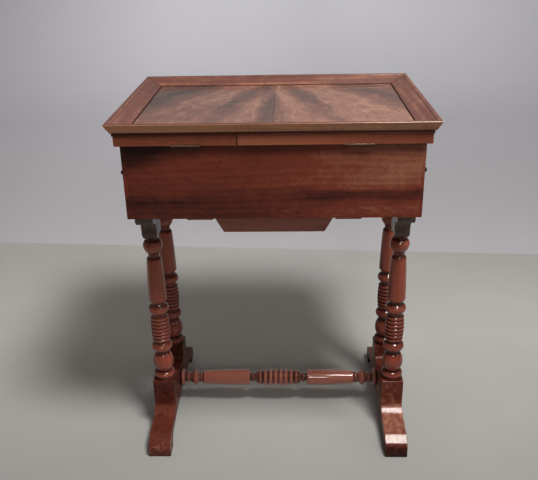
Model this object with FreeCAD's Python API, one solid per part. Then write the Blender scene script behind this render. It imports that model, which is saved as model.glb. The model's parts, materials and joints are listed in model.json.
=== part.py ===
"""Sewing table: a lidded work box on two sledge-footed trestles joined by a turned stretcher.

Millimetres, +Z up, the origin on the floor under the middle of the table. The lid is
hinged along the -Y side, which is the back, and +X is to the right seen from the back.
A trough for wool hangs under the case and slides out towards +Y.
"""
import FreeCAD, Part
import math
import os

V = FreeCAD.Vector

# ---- driving dimensions ----
TOP_Z = 720.0            # top edge of the rim round the lid
RIM_X = 285.0            # half length of the rim
RIM_Y = 209.0            # half depth of the rim
RIM_DROP = 17.5          # height of the rim's leaning outer face
RIM_LEAN = 8.4           # how far that face leans in at its foot
RIM_EDGE = 8.0           # width of the flat top edge
RIM_INSET = 36.4         # from the outer edge to the rim's inner edge
PANEL_Z = 704.3          # top of the sunk panel
PANEL_GAP_X = 1.0        # open joints where the panel has shrunk from the rim
PANEL_GAP_Y = 0.4
CORE_Z = 697.0           # underside of the lid board
FILLET_PROUD = 1.8       # the dark strip stands this far outside the band
BAND_X = 272.5
BAND_Y = 196.5
BAND_THICK = 16.0
LID_GAP = 0.5            # daylight between the closed lid and the case

CASE_X = 264.0
CASE_Y = 188.5
CASE_Z0 = 541.0
CASE_Z1 = 678.0
WALL = 12.0
WALL_TONGUE = 6.0        # width of the side's edge that shows beside the back and front boards
FLOOR_THICK = 8.0

HINGE_X = 149.0
HINGE_LENGTH = 50.0
HINGE_AXIS_Y = -195.4
HINGE_LEAF = 1.2
HINGE_LEAF_START = -192.7
HINGE_LEAF_END = -181.5
KNUCKLES = 5
KNUCKLE_R = 2.2
KNUCKLE_GAP = 0.3
PIN_R = 0.8
PIN_CLEARANCE = 0.06
SMALL_HEAD_R = 2.0       # brass screws of the hinges and the lock
SMALL_SHANK_R = 1.0
STRIKE_Y = 180.0

TRAY_Z0 = 621.5
TRAY_Z1 = 671.0
TRAY_PLAY = 1.0
TRAY_WALL = 5.0
TRAY_FLOOR = 4.0
DIVIDER = 4.0
DIVIDER_DROP = 2.0
BAY_X = 84.0
CUSHION_Y = 58.0

COLUMN_X = 248.0
COLUMN_Y = 69.7
COLUMN_Z1 = 456.5
FOOT_HALF_X = 22.8
FOOT_Y = 192.0
BLOCK_Z = 120.0
BLOCK_HALF_Y = 23.0
VALLEY_Z = 90.0
STRETCHER_Z = 67.0

TROUGH_Z0 = 503.0
TROUGH_Z1 = 534.0
TROUGH_X0 = 93.0         # half width at the bottom
TROUGH_X1 = 110.4        # half width at the top
TROUGH_BACK = -161.5
TROUGH_FRONT = 172.0
TROUGH_BOARD = 8.0
TROUGH_FLOOR = 6.0
RUNNER_INNER = 112.5
RUNNER_OUTER = 160.0
RUNNER_Z0 = 527.5
RUNNER_LEDGE_Z = 533.5
GROOVE_X = 127.0

LOCK_Z0 = 643.0
KEYHOLE_Z = 655.0
ESCUTCHEON_Z = 652.0
STAPLE_DROP = 9.5        # how far the strike's staple reaches down into the lock
SIDE_SCREW_Y = -182.5    # the round heads on the case's sides, near its back corners
SIDE_SCREW_Z = 628.0
KNOB_Z = 519.0
TENON_R = 9.0            # round tenons of the columns and of the stretcher
TENON_DEEP = 26.0        # how far a column's tenon goes into its block
TENON_HIGH = 30.0        # and how far up into its capital
STRETCHER_TENON = 16.0

SIDES_X = (("left", -1), ("right", 1))
SIDES_Y = (("back", -1), ("front", 1))
TINY = 0.01


# ---- shapes ----
def box(x0, x1, y0, y1, z0, z1):
    return Part.makeBox(x1 - x0, y1 - y0, z1 - z0, V(x0, y0, z0))


def cylinder(radius, start, end):
    return Part.makeCylinder(radius, (end - start).Length, start, end - start)


def outline(start, stops):
    """A closed wire: each stop is (a, b), a line to it, or (a, b, via_a, via_b), an arc."""
    edges = []
    here = start
    for stop in list(stops) + [start]:
        there = V(stop[0], stop[1], 0)
        last = V(here[0], here[1], 0)
        if (there - last).Length < TINY:
            continue
        if len(stop) == 4:
            edges.append(Part.Arc(last, V(stop[2], stop[3], 0), there).toShape())
        else:
            edges.append(Part.makeLine(last, there))
        here = stop
    return Part.Wire(edges)


def turned_back(stops, flip_a, flip_b):
    """The mirror image of the stops, walked the other way, from the last stop's image on."""
    images = []
    for before, stop in reversed(list(zip(stops, stops[1:]))):
        image = (flip_a * before[0], flip_b * before[1])
        if len(stop) == 4:
            image += (flip_a * stop[2], flip_b * stop[3])
        images.append(image)
    return images


def side_box(sign, x_near, x_far, y0, y1, z0, z1):
    """A box between two distances from the middle, on the side that the sign says."""
    x0, x1 = sorted((sign * x_near, sign * x_far))
    return box(x0, x1, y0, y1, z0, z1)


def prism_along_x(start, stops, x0, x1):
    """Extrudes an outline given in (y, z)."""
    face = Part.Face(outline(start, stops))
    upright = FreeCAD.Rotation(V(0, 1, 0), V(0, 0, 1), V(1, 0, 0), "ZXY")
    face.Placement = FreeCAD.Placement(V(x0, 0, 0), upright)
    return face.extrude(V(x1 - x0, 0, 0))


def prism_along_y(points, y0, y1):
    """Extrudes a polygon given in (x, z)."""
    wire = Part.makePolygon([V(x, y0, z) for x, z in points + points[:1]])
    return Part.Face(wire).extrude(V(0, y1 - y0, 0))


def turned(start, stops):
    """Turns a profile given in (radius, height) about the Z axis."""
    closing = [(0.0, stops[-1][1]), (0.0, start[1])]
    face = Part.Face(outline(start, list(stops) + closing))
    face.rotate(V(0, 0, 0), V(1, 0, 0), 90)
    return face.revolve(V(0, 0, 0), V(0, 0, 1), 360)


def mitred_board(side, half_x, half_y, section):
    """One side of a mitred frame; the section is (inset from the outer edge, height)."""
    ends = []
    for end in (-1, 1):
        ring = []
        for inset, z in section:
            if side in ("back", "front"):
                sign = -1 if side == "back" else 1
                ring.append(V(end * (half_x - inset), sign * (half_y - inset), z))
            else:
                sign = -1 if side == "left" else 1
                ring.append(V(sign * (half_x - inset), end * (half_y - inset), z))
        ends.append(ring)
    faces = [Part.Face(Part.makePolygon(ring + ring[:1])) for ring in ends]
    count = len(section)
    for i in range(count):
        j = (i + 1) % count
        corners = [ends[0][i], ends[0][j], ends[1][j], ends[1][i], ends[0][i]]
        faces.append(Part.Face(Part.makePolygon(corners)))
    solid = Part.Solid(Part.Shell(faces))
    if solid.Volume < 0:
        solid.reverse()
    return solid


def mitred_frame(half_x, half_y, section):
    return [mitred_board(side, half_x, half_y, section) for side in ("back", "front", "left", "right")]


def screw_hole(head, tip, head_r, shank_r):
    """The room that a countersunk wood screw takes, from the middle of its head to its tip."""
    axis = tip - head
    axis.normalize()
    sink = head_r - shank_r
    cone = Part.makeCone(head_r, shank_r, sink, head, axis)
    return cone.fuse(cylinder(shank_r, head + axis * sink, tip)).removeSplitter()


def screw(head, tip, head_r, shank_r):
    slot_wide = 0.35
    slot = Part.makeBox(2.4 * head_r, slot_wide, slot_wide, V(-1.2 * head_r, -slot_wide / 2, 0))
    slot.Placement = FreeCAD.Placement(head, FreeCAD.Rotation(V(0, 0, 1), tip - head))
    return screw_hole(head, tip, head_r, shank_r).cut(slot)


# ---- where the screws go ----
def leaf_screw_xs():
    return [s * HINGE_X + dx for _, s in SIDES_X for dx in (-17.0, 0.0, 17.0)]


def lid_screw_places():
    places = [(x, -187.5) for x in leaf_screw_xs()] + [(x, STRIKE_Y) for x in (-13.0, 13.0)]
    z = CASE_Z1 + LID_GAP
    return [(V(x, y, z), V(x, y, z + 9.0), SMALL_HEAD_R, SMALL_SHANK_R) for x, y in places]


def case_screw_places():
    inner = CASE_Y - WALL
    places = [(V(x, -185.0, CASE_Z1), V(x, -185.0, CASE_Z1 - 10.0)) for x in leaf_screw_xs()]
    places += [(V(x, inner, 649.0), V(x, inner + 10.5, 649.0)) for x in (-22.0, 22.0)]
    return [place + (SMALL_HEAD_R, SMALL_SHANK_R) for place in places]


def underside_screw_places():
    """Up through the runners, and down through the case's floor into the capitals."""
    places = []
    for _, s in SIDES_X:
        x = s * 143.0
        for y in (-120.0, 0.0, 120.0):
            places.append((V(x, y, RUNNER_Z0), V(x, y, CASE_Z0 + 6.5)))
        x = s * (COLUMN_X - 7.0)
        for y in (-COLUMN_Y, COLUMN_Y):
            for dy in (-26.0, 26.0):
                places.append((V(x, y + dy, CASE_Z0 + FLOOR_THICK), V(x, y + dy, CASE_Z0 - 20.0)))
    return [place + (3.2, 1.7) for place in places]


def screws(places):
    return Part.makeCompound([screw(*place) for place in places])


def drilled(shape, places):
    for place in places:
        hole = screw_hole(*place)
        if shape.BoundBox.intersect(hole.BoundBox):
            shape = shape.cut(hole)
    return shape


# ---- lid ----
def rim_section():
    """A flat top edge, a small step, the inward slope, and a low edge above the panel."""
    outer_foot = TOP_Z - RIM_DROP
    step_foot = TOP_Z - 2.2
    low_edge = PANEL_Z + 2.4
    return [(RIM_LEAN + 1.0, outer_foot), (RIM_LEAN, outer_foot + 1.0), (0.0, TOP_Z - 1.2), (1.0, TOP_Z),
            (RIM_EDGE - 0.8, TOP_Z), (RIM_EDGE, TOP_Z - 0.8), (RIM_EDGE + 0.5, step_foot),
            (RIM_EDGE + 1.6, step_foot - 0.5), (RIM_INSET - 0.9, low_edge + 0.3), (RIM_INSET, low_edge - 0.6),
            (RIM_INSET, outer_foot)]


def lid_parts():
    board_top = TOP_Z - RIM_DROP
    band_bottom = CASE_Z1 + LID_GAP
    parts = {}
    for side in ("back", "front", "left", "right"):
        parts["rim_" + side] = mitred_board(side, RIM_X, RIM_Y, rim_section())
    panel_x = RIM_X - RIM_INSET - PANEL_GAP_X
    panel_y = RIM_Y - RIM_INSET - PANEL_GAP_Y
    panel = box(-panel_x, panel_x, -panel_y, panel_y, board_top, PANEL_Z)
    top_edges = [e for e in panel.Edges if e.BoundBox.ZMin > PANEL_Z - TINY]
    parts["top_panel"] = panel.makeChamfer(0.4, top_edges)

    strip_x = BAND_X + FILLET_PROUD
    strip_y = BAND_Y + FILLET_PROUD
    strip_width = 6.3
    mid = (CORE_Z + board_top) / 2
    strip = [(0.6, CORE_Z), (0.0, CORE_Z + 0.6), (0.0, mid), (1.4, board_top), (strip_width, board_top),
             (strip_width, CORE_Z)]
    parts["rim_fillet"] = Part.makeCompound(mitred_frame(strip_x, strip_y, strip))
    core_x = strip_x - strip_width
    core_y = strip_y - strip_width
    parts["lid_board"] = box(-core_x, core_x, -core_y, core_y, CORE_Z, board_top)

    band = [(0.8, band_bottom), (0.0, band_bottom + 0.8), (0.0, CORE_Z), (BAND_THICK, CORE_Z),
            (BAND_THICK, band_bottom + 0.8), (BAND_THICK - 0.8, band_bottom)]
    for side in ("back", "front", "left", "right"):
        parts["band_" + side] = mitred_board(side, BAND_X, BAND_Y, band)
    half = HINGE_LENGTH / 2
    for _, s in SIDES_X:
        x = s * HINGE_X
        knuckle_room = box(x - half - 0.5, x + half + 0.5, -BAND_Y - 1, HINGE_LEAF_START + 0.1,
                           band_bottom - 1, band_bottom + KNUCKLE_R + 0.3)
        leaf_bed = box(x - half, x + half, HINGE_LEAF_START, HINGE_LEAF_END,
                       band_bottom - 1, band_bottom + HINGE_LEAF)
        parts["band_back"] = parts["band_back"].cut(knuckle_room).cut(leaf_bed)
    parts["band_back"] = drilled(parts["band_back"], lid_screw_places())

    plate = box(-18, 18, STRIKE_Y - 3.5, STRIKE_Y + 4.0, band_bottom, band_bottom + HINGE_LEAF)
    parts["band_front"] = drilled(parts["band_front"].cut(plate), lid_screw_places())
    staple = box(-3, 3, STRIKE_Y - 1.1, STRIKE_Y + 1.1, band_bottom - STAPLE_DROP, band_bottom + TINY)
    eye = box(-1.6, 1.6, STRIKE_Y - 2, STRIKE_Y + 2, band_bottom - 7.5, band_bottom - 2.8)
    parts["lock_strike"] = drilled(plate.fuse(staple).cut(eye), lid_screw_places())

    mirror_x = 235.0
    mirror_y = 155.0
    glass = 3.5
    parts["mirror"] = box(-mirror_x, mirror_x, -mirror_y, mirror_y, CORE_Z - glass, CORE_Z)
    slip = [(0.0, CORE_Z), (9.0, CORE_Z), (9.0, CORE_Z - glass), (14.0, CORE_Z - glass), (13.4, 690.6),
            (9.5, 688.6), (3.0, 688.2), (0.0, 690.0)]
    parts["mirror_slips"] = Part.makeCompound(mitred_frame(mirror_x + 9.0, mirror_y + 9.0, slip))
    parts["lid_screws"] = screws(lid_screw_places())
    return parts


# ---- hinges ----
def knuckle_spans(x, moving):
    pitch = HINGE_LENGTH / KNUCKLES
    start = x - HINGE_LENGTH / 2
    wanted = range(1, KNUCKLES, 2) if moving else range(0, KNUCKLES, 2)
    inner = KNUCKLE_GAP / 2
    return [(start + i * pitch + inner, start + (i + 1) * pitch - inner) for i in wanted]


def hinge_leaf(x, moving):
    half = HINGE_LENGTH / 2
    axis_z = CASE_Z1 + LID_GAP / 2
    if moving:
        z0 = CASE_Z1 + LID_GAP
    else:
        z0 = CASE_Z1 - HINGE_LEAF
    leaf = box(x - half, x + half, HINGE_LEAF_START, HINGE_LEAF_END, z0, z0 + HINGE_LEAF)
    bore_r = PIN_R + PIN_CLEARANCE if moving else PIN_R
    for x0, x1 in knuckle_spans(x, moving):
        barrel = cylinder(KNUCKLE_R, V(x0, HINGE_AXIS_Y, axis_z), V(x1, HINGE_AXIS_Y, axis_z))
        neck = box(x0, x1, HINGE_AXIS_Y, HINGE_LEAF_START + 0.1, z0, z0 + HINGE_LEAF)
        leaf = leaf.fuse(barrel).fuse(neck)
    bore = cylinder(bore_r, V(x - half - 1, HINGE_AXIS_Y, axis_z), V(x + half + 1, HINGE_AXIS_Y, axis_z))
    places = lid_screw_places() if moving else case_screw_places()
    return drilled(leaf.removeSplitter().cut(bore), places)


def hinge_parts():
    parts = {}
    pins = []
    axis_z = CASE_Z1 + LID_GAP / 2
    for name, s in SIDES_X:
        x = s * HINGE_X
        parts["hinge_lid_leaf_" + name] = hinge_leaf(x, True)
        parts["hinge_case_leaf_" + name] = hinge_leaf(x, False)
        half = HINGE_LENGTH / 2 - KNUCKLE_GAP / 2
        pins.append(cylinder(PIN_R, V(x - half, HINGE_AXIS_Y, axis_z), V(x + half, HINGE_AXIS_Y, axis_z)))
    parts["hinge_pins"] = Part.makeCompound(pins)
    return parts


# ---- case ----
def keyhole(y0, y1):
    eye = cylinder(2.6, V(0, y0, KEYHOLE_Z), V(0, y1, KEYHOLE_Z))
    return eye.fuse(box(-1.3, 1.3, y0, y1, KEYHOLE_Z - 9.0, KEYHOLE_Z))


def lock_body():
    inner = CASE_Y - WALL
    return box(-27, 27, inner, inner + 7.0, LOCK_Z0, CASE_Z1)


def case_side(sign):
    """A side board, its back and front ends halved behind the back and front boards."""
    side = side_box(sign, CASE_X - WALL, CASE_X, -CASE_Y, CASE_Y, CASE_Z0, CASE_Z1)
    corners = []
    for edge in side.Edges:
        if edge.BoundBox.ZLength > 100 and abs(edge.BoundBox.XMin) > CASE_X - TINY:
            corners.append(edge)
    side = side.makeFillet(1.0, corners)
    for y0, y1 in ((-CASE_Y - 1, WALL - CASE_Y), (CASE_Y - WALL, CASE_Y + 1)):
        side = side.cut(side_box(sign, CASE_X - WALL, CASE_X - WALL_TONGUE, y0, y1, CASE_Z0 - 1, CASE_Z1 + 1))
    return side.cut(side_screw_shank(sign))


def side_screw_shank(sign):
    seat = V(sign * CASE_X, SIDE_SCREW_Y, SIDE_SCREW_Z)
    return cylinder(2.0, seat, seat + V(-sign * 30.0, 0, 0))


def side_screw(sign):
    head_r = 4.6
    proud = 3.2
    y0, y1 = SIDE_SCREW_Y - 2 * head_r, SIDE_SCREW_Y + 2 * head_r
    z0, z1 = SIDE_SCREW_Z - 2 * head_r, SIDE_SCREW_Z + 2 * head_r
    ball = Part.makeSphere(head_r, V(sign * (CASE_X - 0.6), SIDE_SCREW_Y, SIDE_SCREW_Z))
    outside = side_box(sign, CASE_X, CASE_X + 6, y0, y1, z0, z1)
    slot = side_box(sign, CASE_X + proud, CASE_X + 6, y0, y1, SIDE_SCREW_Z - 0.4, SIDE_SCREW_Z + 0.4)
    return ball.common(outside).cut(slot).fuse(side_screw_shank(sign)).removeSplitter()


def case_parts():
    inner_x = CASE_X - WALL
    inner_y = CASE_Y - WALL
    board_x = CASE_X - WALL_TONGUE
    half = HINGE_LENGTH / 2
    back = box(-board_x, board_x, -CASE_Y, -inner_y, CASE_Z0, CASE_Z1)
    front = box(-board_x, board_x, inner_y, CASE_Y, CASE_Z0, CASE_Z1)
    for _, s in SIDES_X:
        x = s * HINGE_X
        bed = box(x - half, x + half, -CASE_Y - 1, HINGE_LEAF_END, CASE_Z1 - HINGE_LEAF, CASE_Z1 + 1)
        back = back.cut(bed).cut(side_screw_shank(s))
    front = front.cut(lock_body()).cut(keyhole(inner_y, CASE_Y + 1))
    floor = box(-inner_x, inner_x, -inner_y, inner_y, CASE_Z0, CASE_Z0 + FLOOR_THICK)
    ledges = []
    for _, s in SIDES_X:
        ledges.append(side_box(s, inner_x - 10.0, inner_x, -inner_y, inner_y, TRAY_Z0 - 12.5, TRAY_Z0))
    return {
        "case_back": drilled(back, case_screw_places()),
        "case_front": drilled(front, case_screw_places()),
        "case_left": case_side(-1),
        "case_right": case_side(1),
        "case_floor": drilled(floor, underside_screw_places()),
        "tray_ledges": Part.makeCompound(ledges),
        "side_screws": Part.makeCompound([side_screw(s) for _, s in SIDES_X]),
    }


def lock_parts():
    inner = CASE_Y - WALL
    slot = box(-3.7, 3.7, STRIKE_Y - 1.6, STRIKE_Y + 1.6, CASE_Z1 - 12.0, CASE_Z1 + 1)
    bolt_room = box(-21.0, 3.7, STRIKE_Y - 1.3, STRIKE_Y + 1.3, 671.0, 674.5)
    case = lock_body().cut(slot).cut(bolt_room).cut(keyhole(inner + 3.0, inner + 8.0))
    return {
        "lock_case": drilled(case, case_screw_places()),
        "lock_bolt": box(-20.5, -4.5, STRIKE_Y - 1.2, STRIKE_Y + 1.2, 671.1, 674.4),
        "case_screws": screws(case_screw_places()),
        "escutcheon": escutcheon(),
    }


def escutcheon():
    """An oval plate, taller than wide."""
    wide = 0.72
    tall = 1.3
    thick = 1.4
    plate = Part.makeCylinder(11.0, thick, V(0, CASE_Y, ESCUTCHEON_Z), V(0, 1, 0))
    stretch = FreeCAD.Matrix()
    stretch.scale(wide, 1.0, tall)
    stretch.A34 = ESCUTCHEON_Z * (1 - tall)
    oval = plate.transformGeometry(stretch)
    outer_edges = [e for e in oval.Edges if e.BoundBox.YMin > CASE_Y + thick - 0.1]
    return oval.makeChamfer(0.6, outer_edges).cut(keyhole(CASE_Y - 1, CASE_Y + 3))


# ---- tray ----
def tray_parts():
    x = CASE_X - WALL - TRAY_PLAY
    y = CASE_Y - WALL - TRAY_PLAY
    z0 = TRAY_Z0 + TRAY_FLOOR
    inner_x = x - TRAY_WALL
    inner_y = y - TRAY_WALL
    half = DIVIDER / 2
    top = TRAY_Z1 - DIVIDER_DROP
    parts = {}
    parts["tray_floor"] = box(-x, x, -y, y, TRAY_Z0, z0)
    parts["tray_back"] = box(-x, x, -y, -inner_y, z0, TRAY_Z1)
    parts["tray_front"] = box(-x, x, inner_y, y, z0, TRAY_Z1)
    parts["tray_left"] = box(-x, -inner_x, -inner_y, inner_y, z0, TRAY_Z1)
    parts["tray_right"] = box(inner_x, x, -inner_y, inner_y, z0, TRAY_Z1)
    long_ones = []
    short_ones = []
    for _, s in SIDES_X:
        long_ones.append(box(s * BAY_X - half, s * BAY_X + half, -inner_y, inner_y, z0, top))
        short_ones.append(side_box(s, BAY_X + half, inner_x, -half, half, z0, top))
        y = s * CUSHION_Y
        short_ones.append(box(half - BAY_X, BAY_X - half, y - half, y + half, z0, top))
    parts["tray_long_dividers"] = Part.makeCompound(long_ones)
    parts["tray_short_dividers"] = Part.makeCompound(short_ones)
    gap = 1.0
    pad_x = BAY_X - half - gap
    pad_y = CUSHION_Y - half - gap
    pad = box(-pad_x, pad_x, -pad_y, pad_y, z0, TRAY_Z1 - 9.0)
    soft_edges = [e for e in pad.Edges if e.BoundBox.ZMax > z0 + 1]
    parts["pincushion"] = pad.makeFillet(9.0, soft_edges)
    return parts


# ---- trough drawer and its runners ----
def trough_x(z):
    return TROUGH_X0 + (TROUGH_X1 - TROUGH_X0) * (z - TROUGH_Z0) / (TROUGH_Z1 - TROUGH_Z0)


def mirrored_x(points):
    """A shape symmetric about x = 0, from the points of its +X half, bottom to top."""
    return points + [(-x, z) for x, z in reversed(points)]


def runner_parts():
    parts = {}
    for name, s in SIDES_X:
        section = [(RUNNER_INNER, RUNNER_Z0), (RUNNER_OUTER, RUNNER_Z0), (RUNNER_OUTER, CASE_Z0),
                   (GROOVE_X, CASE_Z0), (GROOVE_X, RUNNER_LEDGE_Z), (RUNNER_INNER, RUNNER_LEDGE_Z)]
        runner = prism_along_y([(s * x, z) for x, z in section], TROUGH_BACK, TROUGH_FRONT)
        parts["runner_" + name] = drilled(runner, underside_screw_places())
    return parts


def trough_parts():
    parts = {}
    end_top = CASE_Z0 - 1.5
    end_half = trough_x(TROUGH_Z1) - 6.0
    end = mirrored_x([(TROUGH_X0, TROUGH_Z0), (trough_x(TROUGH_Z1), TROUGH_Z1), (end_half, TROUGH_Z1),
                      (end_half, end_top)])
    back_inner = TROUGH_BACK + TROUGH_BOARD
    front_inner = TROUGH_FRONT - TROUGH_BOARD
    knob_tenon = 4.0
    hole = cylinder(knob_tenon, V(0, front_inner, KNOB_Z), V(0, TROUGH_FRONT + 1, KNOB_Z))
    parts["trough_back"] = prism_along_y(end, TROUGH_BACK, back_inner)
    parts["trough_front"] = prism_along_y(end, front_inner, TROUGH_FRONT).cut(hole)
    lips = []
    for name, s in SIDES_X:
        side = [(TROUGH_X0 - TROUGH_BOARD, TROUGH_Z0), (TROUGH_X0, TROUGH_Z0), (TROUGH_X1, TROUGH_Z1),
                (TROUGH_X1 - TROUGH_BOARD, TROUGH_Z1)]
        parts["trough_" + name] = prism_along_y([(s * x, z) for x, z in side], back_inner, front_inner)
        lips.append(side_box(s, TROUGH_X1 - TROUGH_BOARD, GROOVE_X - 3.0, back_inner, front_inner,
                             TROUGH_Z1, TROUGH_Z1 + 3.5))
    parts["trough_lips"] = Part.makeCompound(lips)
    floor_z = TROUGH_Z0 + TROUGH_FLOOR
    floor = mirrored_x([(TROUGH_X0 - TROUGH_BOARD, TROUGH_Z0), (trough_x(floor_z) - TROUGH_BOARD, floor_z)])
    parts["trough_floor"] = prism_along_y(floor, back_inner, front_inner)
    face = TROUGH_BOARD
    stops = [(knob_tenon, face), (6.5, face), (5.0, face + 5.0, 4.9, face + 2.5),
             (10.5, face + 12.5, 8.8, face + 8.0), (3.0, face + 19.6, 8.2, face + 17.4)]
    knob = turned((knob_tenon, 0.0), stops)
    knob.rotate(V(0, 0, 0), V(1, 0, 0), -90)
    knob.translate(V(0, front_inner, KNOB_Z))
    parts["trough_knob"] = knob
    return parts


# ---- trestles ----
def column():
    """A turned column, standing on the block of its foot, with a tenon at each end."""
    ribs = 7
    ribs_z0 = 213.8
    ribs_z1 = 273.6
    pitch = (ribs_z1 - ribs_z0) / ribs
    stops = [(TENON_R, BLOCK_Z), (19.0, BLOCK_Z), (19.0, 122.8, 20.0, 121.4), (17.6, 123.4)]
    stops += [(14.6, 139.0, 22.4, 130.2), (14.6, 140.4)]
    stops += [(21.7, 161.0, 19.9, 149.4), (14.0, 184.4, 19.4, 174.8), (14.0, 187.2)]
    stops += [(15.4, 189.6), (15.4, 209.6, 21.8, 199.6), (14.6, 211.6), (14.6, ribs_z0)]
    for i in range(ribs):
        middle = (i + 0.5) / ribs
        radius = 18.3 + 1.7 * math.sin(math.pi * middle)
        z = ribs_z0 + i * pitch
        stops.append((radius - 2.8, z + 0.5))
        stops.append((radius - 2.8, z + pitch - 0.5, radius, z + pitch / 2))
    stops += [(14.6, ribs_z1 + 0.4), (14.6, 279.4), (15.4, 281.6), (15.4, 300.4, 21.4, 291.4), (13.4, 302.4)]
    stops += [(13.8, 307.6), (18.9, 316.5, 17.8, 310.6), (15.4, 403.4, 17.8, 359.0)]
    stops += [(14.8, 406.8), (13.4, 409.4), (11.0, 412.2, 11.7, 410.4), (11.2, 415.2)]
    stops += [(14.6, 422.8, 12.3, 419.6), (19.7, 435.0, 18.1, 428.8), (18.0, 443.6, 19.6, 439.6)]
    stops += [(11.6, 449.2, 15.6, 447.4), (10.2, COLUMN_Z1, 10.5, 452.0)]
    stops += [(TENON_R, COLUMN_Z1), (TENON_R, COLUMN_Z1 + TENON_HIGH)]
    return turned((TENON_R, BLOCK_Z - TENON_DEEP), stops)


def capital():
    """A bracket between column and case: an ogee seen from the side, a little wider above."""
    half_top = 60.0
    profile = [(13.0, COLUMN_Z1), (18.8, 461.5, 17.4, 458.0), (22.0, 474.0, 21.8, 467.0),
               (36.0, 498.5, 25.2, 489.0), (41.0, 499.8), (50.0, 501.8), (half_top - 0.8, 511.0, 56.8, 505.2),
               (half_top, 515.0), (half_top, CASE_Z0)]
    mirrored = [(-half_top, CASE_Z0)] + turned_back(profile, -1, 1)
    half_thick = [(11.8, COLUMN_Z1), (14.3, 460.0), (15.1, 465.0), (15.1, 497.0), (16.3, 503.0), (17.0, 511.0),
                  (17.0, CASE_Z0)]
    from_the_back = half_thick + [(-x, z) for x, z in reversed(half_thick)]
    body = prism_along_x(profile[0], profile[1:] + mirrored, -17.0, 17.0)
    body = body.common(prism_along_y(from_the_back, -half_top - 1, half_top + 1))
    return body.cut(cylinder(TENON_R, V(0, 0, COLUMN_Z1 - 1), V(0, 0, COLUMN_Z1 + TENON_HIGH)))


def foot_profile():
    """The +Y half of the foot seen from the side, from mid-top round to mid-underside.

    Two nearly flat facets lead from the block down to the slope, and from the slope to the toe.
    """
    block_in = COLUMN_Y - BLOCK_HALF_Y
    block_out = COLUMN_Y + BLOCK_HALF_Y
    return [(block_in - 8.5, VALLEY_Z), (block_in, VALLEY_Z + 8.5, block_in - 2.5, VALLEY_Z + 2.5),
            (block_in, BLOCK_Z), (block_out, BLOCK_Z), (block_out, 66.0), (95.2, 57.6, 93.3, 61.4),
            (108.3, 48.4, 101.55, 52.7), (113.0, 46.7, 110.6, 47.3), (165.0, 41.6),
            (168.4, 40.5, 166.8, 41.3), (180.6, 32.6, 174.65, 36.8), (FOOT_Y, 18.0, 188.4, 26.2),
            (FOOT_Y, 4.0), (FOOT_Y - 4.0, 0.0, FOOT_Y - 1.2, 1.2), (160.0, 0.0), (126.0, 28.0, 152.0, 18.0),
            (0.0, 37.0, 64.0, 34.8)]


def foot(sign):
    half = foot_profile()
    x = sign * COLUMN_X
    body = prism_along_x((0.0, VALLEY_Z), half + turned_back(half, -1, 1), x - FOOT_HALF_X, x + FOOT_HALF_X)
    for y in (-COLUMN_Y, COLUMN_Y):
        body = body.cut(cylinder(TENON_R, V(x, y, BLOCK_Z - TENON_DEEP), V(x, y, BLOCK_Z + 1)))
    inner = COLUMN_X - FOOT_HALF_X
    near = V(sign * (inner - 1), 0, STRETCHER_Z)
    deep = V(sign * (inner + STRETCHER_TENON), 0, STRETCHER_Z)
    return body.cut(cylinder(TENON_R, near, deep))


def stretcher():
    """Turned, and the same both ways from its middle."""
    ribs = 8
    half_barrel = 46.8
    pitch = 2 * half_barrel / ribs
    inner = COLUMN_X - FOOT_HALF_X
    right = [(13.2, half_barrel), (14.4, half_barrel + 1.2), (8.4, 51.8, 12.6, 50.0), (8.4, 55.0),
             (8.4, 60.6, 11.2, 57.8), (8.4, 64.6), (15.6, 65.4), (17.4, 69.4, 17.0, 66.6),
             (14.6, 170.6, 17.2, 112.0), (12.6, 172.8), (9.6, 173.6), (9.6, 180.0, 12.6, 176.8),
             (9.8, 181.4), (16.8, 189.4, 13.0, 186.2), (16.8, 193.4, 18.6, 191.4),
             (9.8, 201.4, 13.0, 196.6), (9.8, 203.6), (9.8, 211.2, 12.8, 207.4), (9.8, 214.2),
             (14.6, 215.4), (14.6, inner - 0.6, 19.2, 220.0), (14.6, inner), (TENON_R, inner),
             (TENON_R, inner + STRETCHER_TENON)]
    barrel = []
    for i in range(ribs):
        middle = (i + 0.5) / ribs
        radius = 16.4 + 2.8 * math.sin(math.pi * middle)
        z = -half_barrel + i * pitch
        barrel.append((radius - 3.4, z + 1.5))
        barrel.append((radius - 3.4, z + pitch - 1.5, radius, z + pitch / 2))
    start = (TENON_R, -inner - STRETCHER_TENON)
    body = turned(start, turned_back(right, 1, -1) + barrel + right)
    body.rotate(V(0, 0, 0), V(0, 1, 0), 90)
    body.translate(V(0, 0, STRETCHER_Z))
    return body


def trestle_parts():
    parts = {}
    for side, sx in SIDES_X:
        parts["foot_" + side] = foot(sx)
        for end, sy in SIDES_Y:
            place = V(sx * COLUMN_X, sy * COLUMN_Y, 0)
            post = column()
            post.translate(place)
            parts["column_%s_%s" % (end, side)] = post
            head = capital()
            head.translate(place)
            parts["capital_%s_%s" % (end, side)] = drilled(head, underside_screw_places())
    parts["stretcher"] = stretcher()
    return parts


def main():
    os.makedirs("parts", exist_ok=True)
    parts = {}
    for group in (lid_parts(), hinge_parts(), case_parts(), lock_parts(), tray_parts(), runner_parts(),
                  trough_parts(), trestle_parts()):
        parts.update(group)
    parts["underside_screws"] = screws(underside_screw_places())
    for name in sorted(parts):
        parts[name].exportStep("parts/%s.step" % name)
    print(len(parts), "parts")


main()
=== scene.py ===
"""The looks of a sewing table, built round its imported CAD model.

Metres, +Z up, -Y the hinged back that the camera sees, +X to the right. The boards and the metal
fittings are the CAD nodes, most boards with eased arrises; the turned pieces and the pincushion
are new.
"""

import bpy
import json
import math
from mathutils import Matrix, Vector, noise


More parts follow.
